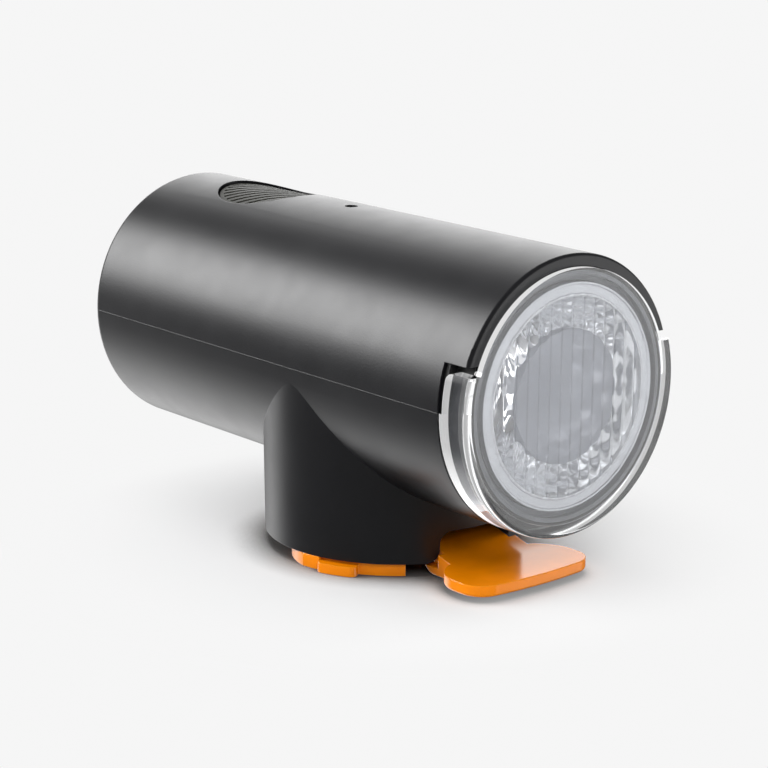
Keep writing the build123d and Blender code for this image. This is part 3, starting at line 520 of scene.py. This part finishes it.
def metal(name, look):
    # Plated or drawn metal with fine lengthways marks
    material, tree, shader = startMaterial(name)
    place = addNode(tree, "ShaderNodeTexCoord")
    turn = addNode(tree, "ShaderNodeMapping", {"Scale": look.get("stretch", (1, 1, 1))})
    marks = addNode(tree, "ShaderNodeTexNoise", {"Scale": look.get("scale", 3000.0), "Detail": 3.0})
    edges = placeGroup(tree, softEdge, {"Radius": surfaceWork["marksEdge"] * mm})
    bump = addNode(tree, "ShaderNodeBump", {
        "Strength": look.get("bump", 0.15), "Distance": surfaceWork["marksDepth"]})
    plug(tree, place, "Object", turn, "Vector")
    plug(tree, turn, "Vector", marks, "Vector")
    plug(tree, marks, "Fac", bump, "Height")
    plug(tree, edges, "Normal", bump, "Normal")
    plug(tree, bump, "Normal", shader, "Normal")
    dark, pale = ([min(1.0, share * c) for c in look["colour"]] for share in surfaceWork["marksShades"])
    shade = tint(tree, marks.outputs["Fac"], dark, pale)
    tree.links.new(paintedRingShade(tree, shade, look), shader.inputs["Base Color"])
    low, high = (look["roughness"] + sign * surfaceWork["marksGloss"] for sign in (-1, 1))
    gloss = spread(tree, marks.outputs["Fac"], low, high)
    tree.links.new(gloss, shader.inputs["Roughness"])
    shader.inputs["Metallic"].default_value = look.get("metallic", 1.0)
    return material


def paintGlow(tree, shader, look):
    # Painted glow as emission in the rings of a clear piece, and painted glints in the last of them
    total = 0.0
    for spec in look["rings"]:
        ring = placeRing(tree, *spec)
        total = combine(tree, "ADD", ring, total)
    if "glint" in look:
        sparkle = placeGroup(tree, paintedGlint, {
            "Scale": look["glintScale"], "Sharpness": look["glintSharpness"]})
        sparkle = combine(tree, "MULTIPLY", sparkle.outputs["Value"], look["glint"])
        inRing = combine(tree, "GREATER_THAN", ring, surfaceWork["ringDim"])
        total = combine(tree, "ADD", combine(tree, "MULTIPLY", sparkle, inRing), total)
    glow = addNode(tree, "ShaderNodeCombineColor")
    for channel in ("Red", "Green", "Blue"):
        tree.links.new(total, glow.inputs[channel])
    plug(tree, glow, "Color", shader, "Emission Color")
    shader.inputs["Emission Strength"].default_value = 1.0


def clear(name, look):
    # Moulded clear plastic
    material, tree, shader = startMaterial(name)
    surface = placeGroup(tree, grain, {"Scale": look["scale"], "Mottle Scale": surfaceWork["clearMottle"]})
    bump = addNode(tree, "ShaderNodeBump", {"Strength": look["bump"], "Distance": surfaceWork["grainDepth"]})
    plug(tree, surface, "Mottle", bump, "Height")
    plug(tree, bump, "Normal", shader, "Normal")
    gloss = spread(tree, surface.outputs["Mottle"], look["roughness"] * 0.5, look["roughness"] * 1.5)
    tree.links.new(gloss, shader.inputs["Roughness"])
    shader.inputs["Base Color"].default_value = (*look["colour"], 1)
    # A painted shade darkens the clear colour inside a ring
    if "shade" in look:
        shaded = tint(tree, placeRing(tree, *look["shade"]), look["colour"], look["shadeColour"])
        tree.links.new(shaded, shader.inputs["Base Color"])
    shader.inputs["Transmission Weight"].default_value = look.get("transmission", 1.0)
    shader.inputs["IOR"].default_value = look["ior"]
    paintGlow(tree, shader, look)
    return material


# One entry for each material slot of the record. A shade is a painted shade, a ring turned to a darker
# colour, given in mm by its nearest and deepest place behind the lens face and by its inner and outer
# radius. An entry in rings adds painted glow as emission, its light at either end and the share of it below
# the axis; a glint adds painted glints in the last ring
finishes = {
    "shell_black": (grained, {"colour": (0.006, 0.006, 0.0075), "worn": (0.02, 0.02, 0.022),
                              "roughness": 0.34, "scale": 5200.0, "bump": 0.35, "edge": 0.12}),
    "button_rubber": (grained, {"colour": (0.028, 0.028, 0.022), "worn": (0.07, 0.07, 0.06),
                                "roughness": 0.5, "scale": 7000.0, "bump": 0.25}),
    "seal_rubber": (grained, {"colour": (0.008, 0.008, 0.008), "worn": (0.015, 0.015, 0.015),
                              "roughness": 0.6, "scale": 6000.0, "bump": 0.3}),
    # Lens: painted glow in three rings near its outer edge, and a painted shade in a band of its skirt
    "lens_clear": (clear, {"colour": (0.97, 0.98, 0.99), "roughness": 0.02, "ior": 1.56, "scale": 900.0,
                           "bump": 0.02, "rings": (
                               (2.8, 4.5, 16.9, 17.1, 0.4, 0.45, 1.0),
                               (1.25, 2.7, 15.3, 15.6, 0.12, 0.0, 1.0),
                               (0.02, 0.85, 15.3, 15.5, 0.75, 0.75, 0.35)),
                           "shade": (1.1, 2.75, 16.9, 17.1), "shadeColour": (0.2, 0.21, 0.24)}),
    # Bezel: a near-black painted shade on its outer wall
    "bezel_grey": (grained, {"colour": (0.175, 0.182, 0.2), "worn": (0.42, 0.44, 0.47), "roughness": 0.35,
                             "scale": 6000.0, "bump": 0.2,
                             "shade": (1.35, 30.0, 14.9, 15.1), "shadeColour": (0.006, 0.006, 0.007)}),
    # Reflector: a painted shade that darkens its flat rim
    "reflector_silver": (metal, {"colour": (0.8, 0.81, 0.835), "roughness": 0.16, "scale": 1500.0,
                                 "bump": 0.02, "metallic": 0.75,
                                 "shade": (1.2, 1.9, 12.1, 14.0), "shadeColour": (0.58, 0.59, 0.62)}),
    # Optic: painted glow and painted glints on its side wall
    "optic_clear": (clear, {"colour": (0.45, 0.465, 0.52), "roughness": 0.4, "ior": 1.49, "scale": 900.0,
                            "bump": 0.02, "transmission": 0.14,
                            "rings": ((2.6, 11.0, 3.0, 8.0, 0.07, 0.03, 1.0),),
                            "glint": 2.8, "glintScale": 1050.0, "glintSharpness": 8.0}),
    "board_white": (grained, {"colour": (0.75, 0.75, 0.76), "worn": (0.6, 0.6, 0.6), "roughness": 0.4,
                              "scale": 3000.0, "bump": 0.1}),
    "led_yellow": (grained, {"colour": (0.85, 0.72, 0.2), "worn": (0.8, 0.7, 0.3), "roughness": 0.25,
                             "scale": 4000.0, "bump": 0.05}),
    "sink_aluminium": (metal, {"colour": (0.6, 0.61, 0.63), "roughness": 0.45, "scale": 4000.0,
                               "bump": 0.3}),
    "screw_steel": (metal, {"colour": (0.16, 0.16, 0.165), "roughness": 0.35, "scale": 5000.0}),
    "cell_wrap": (grained, {"colour": (0.03, 0.12, 0.35), "worn": (0.06, 0.2, 0.5), "roughness": 0.25,
                            "scale": 1200.0, "bump": 0.05}),
    "tab_nickel": (metal, {"colour": (0.62, 0.6, 0.56), "roughness": 0.3, "stretch": (8, 1, 1)}),
    "cradle_plastic": (grained, {"colour": (0.02, 0.02, 0.021), "worn": (0.04, 0.04, 0.04), "roughness": 0.5,
                                 "scale": 4000.0, "bump": 0.2}),
    "foam_grey": (grained, {"colour": (0.04, 0.04, 0.042), "worn": (0.05, 0.05, 0.05), "roughness": 0.9,
                            "scale": 1800.0, "bump": 1.0}),
    "board_green": (grained, {"colour": (0.01, 0.09, 0.03), "worn": (0.3, 0.3, 0.12), "roughness": 0.3,
                              "scale": 1500.0, "bump": 0.05}),
    "chip_black": (grained, {"colour": (0.01, 0.01, 0.01), "worn": (0.03, 0.03, 0.03), "roughness": 0.45,
                             "scale": 5000.0, "bump": 0.2}),
    "lead_red": (grained, {"colour": (0.5, 0.02, 0.02), "worn": (0.5, 0.03, 0.03), "roughness": 0.4,
                           "scale": 2500.0, "bump": 0.05}),
    "lead_black": (grained, {"colour": (0.01, 0.01, 0.01), "worn": (0.02, 0.02, 0.02), "roughness": 0.4,
                             "scale": 2500.0, "bump": 0.05}),
    "port_steel": (metal, {"colour": (0.55, 0.55, 0.56), "roughness": 0.28, "stretch": (1, 10, 1)}),
    "mount_orange": (grained, {"colour": (0.98, 0.27, 0.001), "worn": (0.98, 0.33, 0.015), "roughness": 0.15,
                               "scale": 2500.0, "bump": 0.03, "edge": 0.25, "ior": 1.42}),
    "pin_steel": (metal, {"colour": (0.58, 0.58, 0.6), "roughness": 0.2, "stretch": (10, 1, 1)}),
}
materials = {slot: make(slot, look) for slot, (make, look) in finishes.items()}
for entry in record["subparts"]:
    mesh = nodes[entry["node"]].data
    mesh.materials.clear()
    mesh.materials.append(materials[entry["material_slot"]])
print("finishes made:", len(materials))


# Shapes that repeat are made by geometry trees, which are applied here
def startShape(name, inputs):
    group = bpy.data.node_groups.new(name, "GeometryNodeTree")
    group.interface.new_socket("Geometry", in_out="INPUT", socket_type="NodeSocketGeometry")
    for label, value in inputs:
        socket = group.interface.new_socket(label, in_out="INPUT", socket_type="NodeSocketFloat")
        socket.default_value = value
    group.interface.new_socket("Material", in_out="INPUT", socket_type="NodeSocketMaterial")
    group.interface.new_socket("Geometry", in_out="OUTPUT", socket_type="NodeSocketGeometry")
    return group, group.nodes.new("NodeGroupInput"), group.nodes.new("NodeGroupOutput")


def endShape(group, start, end, moved):
    whole = addNode(group, "GeometryNodeRealizeInstances")
    dressed = addNode(group, "GeometryNodeSetMaterial")
    plug(group, moved, "Geometry", whole, "Geometry")
    plug(group, whole, "Geometry", dressed, "Geometry")
    plug(group, start, "Material", dressed, "Material")
    plug(group, dressed, "Geometry", end, "Geometry")
    return group


def finishPiece(mesh, name, slot, sharpAngle, tree, values):
    # Shape a mesh by its tree, smooth it up to the sharp angle and let it ride on the housing
    data = bpy.data.meshes.new(name)
    mesh.to_mesh(data)
    mesh.free()
    piece = bpy.data.objects.new(name, data)
    bpy.context.scene.collection.objects.link(piece)
    shape = piece.modifiers.new("shape", "NODES")
    shape.node_group = tree
    inputs = [item for item in tree.interface.items_tree if item.in_out == "INPUT"]
    sockets = {item.name: item.identifier for item in inputs}
    for label, value in values.items():
        shape[sockets[label]] = value
    shape[sockets["Material"]] = materials[slot]
    bpy.context.view_layer.update()
    data = bpy.data.meshes.new_from_object(piece.evaluated_get(bpy.context.evaluated_depsgraph_get()))
    piece.modifiers.clear()
    piece.data = data
    edged = bmesh.new()
    edged.from_mesh(data)
    for face in edged.faces:
        face.smooth = True
    for edge in edged.edges:
        edge.smooth = edge.calc_face_angle(0) < math.radians(sharpAngle)
    edged.to_mesh(data)
    edged.free()
    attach(piece, "housing")
    return piece


# Reflector: a bowl of small pillow-shaped facets with a flat rim between two fine beads
reflectorShape = {
    "mouthRadius": 12.05 * mm,
    "rimRadius": 13.65 * mm,
    "front": 1.25 * mm,  # behind the lens face
    "rimThickness": 1.2 * mm,
    "bead": 0.22 * mm,
    "beadHeight": 0.16 * mm,
    "lip": 0.7 * mm,
    "bowlDepth": 7.1 * mm,
    "vertexDepth": 9.4 * mm,  # of the whole parabola, which the bowl's depth cuts short
    "wall": 1.0 * mm,
    "sectors": 28,
    "bands": 5,
    "steps": 6,
    "bulge": 0.2 * mm,
    "sharpAngle": 28,
}
lastOfBowl = 0.9999  # keeps the bowl's last points in its last band


def facetTree():
    group, start, end = startShape("pillowFacets", [
        ("Sectors", 28.0), ("Bands", 5.0), ("Bulge", 0.0002), ("Bowl Start", 0.002), ("Bowl Depth", 0.007)])
    here = addNode(group, "GeometryNodeInputPosition")
    place, radius, outward = fromLensFace(group, here.outputs["Position"])
    turn = combine(group, "ARCTAN2", place["Z"], place["X"])
    turn = combine(group, "MULTIPLY", combine(group, "DIVIDE", turn, 2 * math.pi), start.outputs["Sectors"])
    slide = combine(group, "SUBTRACT", place["Y"], start.outputs["Bowl Start"])
    slide = combine(group, "DIVIDE", slide, start.outputs["Bowl Depth"])
    slide = combine(group, "MINIMUM", slide, lastOfBowl)
    slide = combine(group, "MULTIPLY", slide, start.outputs["Bands"])
    band = combine(group, "FLOOR", slide, 0.0)
    along = centred(group, combine(group, "SUBTRACT", slide, band))
    # The first band keeps its full height at the mouth, which gives the rim its scalloped inner edge
    first = combine(group, "LESS_THAN", band, 0.5)
    along = combine(group, "MAXIMUM", along, combine(group, "SUBTRACT", first, 1.0))
    turn = combine(group, "ADD", turn, combine(group, "MULTIPLY", band, 0.5))
    across = centred(group, combine(group, "FRACT", turn, 0.0))
    height = start.outputs["Bulge"]
    for way in (along, across):
        square = combine(group, "MULTIPLY", way, way)
        height = combine(group, "MULTIPLY", height, combine(group, "SUBTRACT", 1.0, square))
    inside = addNode(group, "GeometryNodeInputNamedAttribute", {"Name": "bowl"}, data_type="FLOAT")
    height = combine(group, "MULTIPLY", height, inside.outputs["Attribute"])
    inward = addNode(group, "ShaderNodeVectorMath", operation="SCALE")
    group.links.new(outward, inward.inputs[0])
    share = combine(group, "DIVIDE", combine(group, "MULTIPLY", height, -1.0), radius)
    group.links.new(share, inward.inputs["Scale"])
    moved = addNode(group, "GeometryNodeSetPosition")
    plug(group, start, "Geometry", moved, "Geometry")
    plug(group, inward, "Vector", moved, "Offset")
    return endShape(group, start, end, moved)


def bowlRadius(depth):
    return reflectorShape["mouthRadius"] * math.sqrt(1 - depth / reflectorShape["vertexDepth"])


def makeReflector():
    s = reflectorShape
    columns = s["sectors"] * s["steps"]
    front, mouth, rim, bead = s["front"], s["mouthRadius"], s["rimRadius"], s["bead"]
    foot = 1.5 * bead  # where a bead's slope meets the flat between the beads
    bowlStart = front + s["lip"]
    rows = [(front, mouth, 0), (front + s["lip"] / 2, mouth, 0)]
    count = s["bands"] * s["steps"]
    for i in range(count + 1):
        depth = s["bowlDepth"] * i / count
        rows.append((bowlStart + depth, bowlRadius(depth), 1))
    rear = bowlStart + s["bowlDepth"]
    hole = bowlRadius(s["bowlDepth"])
    rows += [(rear + s["wall"], hole, 0), (rear + s["wall"], hole + s["wall"], 0)]
    for i in range(count, s["steps"], -s["steps"]):
        depth = s["bowlDepth"] * i / count
        rows.append((bowlStart + depth, bowlRadius(depth) + s["wall"], 0))
    rows += [(front + s["rimThickness"], mouth + s["wall"], 0), (front + s["rimThickness"], rim, 0)]
    rows += [(front, rim, 0), (front, rim - bead, 0), (front + s["beadHeight"], rim - foot, 0)]
    rows += [(front + s["beadHeight"], mouth + foot, 0), (front, mouth + bead, 0)]
    mesh = bmesh.new()
    bowl = mesh.verts.layers.float.new("bowl")
    rings = []
    for depth, radius, inside in rows:
        ring = []
        for j in range(columns):
            angle = 2 * math.pi * j / columns
            spot = (radius * math.cos(angle), lensFace + depth, axisHeight + radius * math.sin(angle))
            ring.append(mesh.verts.new(spot))
            ring[-1][bowl] = inside
        rings.append(ring)
    for ring, other in zip(rings, rings[1:] + rings[:1]):
        for j in range(columns):
            k = (j + 1) % columns
            mesh.faces.new((ring[j], ring[k], other[k], other[j]))
    bmesh.ops.recalc_face_normals(mesh, faces=mesh.faces)
    return finishPiece(mesh, "faceted_reflector", "reflector_silver", s["sharpAngle"], facetTree(), {
        "Sectors": float(s["sectors"]), "Bands": float(s["bands"]), "Bulge": s["bulge"],
        "Bowl Start": bowlStart, "Bowl Depth": s["bowlDepth"]})


reflector = makeReflector()
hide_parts("reflector")
print("reflector made")


# Lens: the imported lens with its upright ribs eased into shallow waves, as moulded clear plastic shows them
lensRibs = {
    "pitch": 1.75 * mm,
    "first": -12.25 * mm,
    "height": 0.09 * mm,
    "level": 1.2 * mm,  # the lens' inner face, behind the lens face
    "zoneRadius": 12.02 * mm,
    "reach": 0.25 * mm,
    "weld": 0.0005 * mm,
    "sharpAngle": 22,
}
ribSlack = 0.01 * mm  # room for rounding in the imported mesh


def ribTree():
    group, start, end = startShape("easedRibs", [
        ("Pitch", 0.002), ("First", 0.0), ("Height", 0.00005), ("Level", 0.001), ("Zone Radius", 0.012),
        ("Reach", 0.0002)])
    here = addNode(group, "GeometryNodeInputPosition")
    place, radius, _ = fromLensFace(group, here.outputs["Position"])
    wave = combine(group, "DIVIDE", combine(group, "SUBTRACT", place["X"], start.outputs["First"]),
                   start.outputs["Pitch"])
    wave = centred(group, combine(group, "FRACT", wave, 0.0))
    wave = combine(group, "SUBTRACT", 1.0, combine(group, "MULTIPLY", wave, wave))
    wave = combine(group, "MULTIPLY", wave, start.outputs["Height"])
    wanted = combine(group, "ADD", wave, start.outputs["Level"])
    step = combine(group, "SUBTRACT", wanted, place["Y"])
    near = combine(group, "SUBTRACT", place["Y"], start.outputs["Level"])
    ribs = combine(group, "LESS_THAN", radius, start.outputs["Zone Radius"])
    ribs = combine(group, "MULTIPLY", ribs, combine(group, "GREATER_THAN", near, -ribSlack))
    ribs = combine(group, "MULTIPLY", ribs, combine(group, "LESS_THAN", near, start.outputs["Reach"]))
    offset = addNode(group, "ShaderNodeCombineXYZ")
    group.links.new(combine(group, "MULTIPLY", step, ribs), offset.inputs["Y"])
    moved = addNode(group, "GeometryNodeSetPosition")
    plug(group, start, "Geometry", moved, "Geometry")
    plug(group, offset, "Vector", moved, "Offset")
    return endShape(group, start, end, moved)


def makeLens():
    s = lensRibs
    mesh = bmesh.new()
    mesh.from_mesh(nodes["front_lens"].data)
    bmesh.ops.remove_doubles(mesh, verts=mesh.verts, dist=s["weld"])
    return finishPiece(mesh, "fluted_lens", "lens_clear", s["sharpAngle"], ribTree(), {
        "Pitch": s["pitch"], "First": s["first"], "Height": s["height"], "Level": s["level"],
        "Zone Radius": s["zoneRadius"], "Reach": s["reach"]})


lens = makeLens()
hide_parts("front_lens")
print("lens made:", len(lens.data.polygons), "faces")
